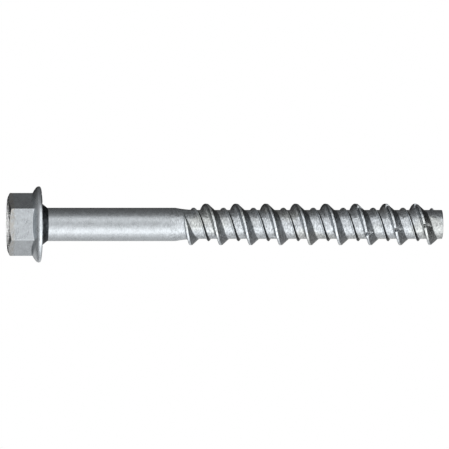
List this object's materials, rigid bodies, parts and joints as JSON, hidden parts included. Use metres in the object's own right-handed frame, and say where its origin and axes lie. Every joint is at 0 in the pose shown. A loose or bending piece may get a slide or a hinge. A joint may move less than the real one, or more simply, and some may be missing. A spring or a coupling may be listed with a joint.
{
  "type": "concrete screw",
  "caption": "Concrete screw: hexagon flange head, plain shank and a coarse two-height cutting thread up to a flat tip.",
  "frame": {"origin": "centre of the end face of the hexagon head, on which the screw stands", "axes": "+Z along the screw's axis from the head to the tip; one hexagon flat faces -Y"},
  "size_m": [0.0182, 0.0182, 0.1038],
  "materials": {
    "zinc_plated_steel": "satin bright zinc plating on hardened steel, dark under the flange"
  },
  "bodies": {
    "root": {"concrete_screw": "zinc_plated_steel"}
  },
  "joints": []
}
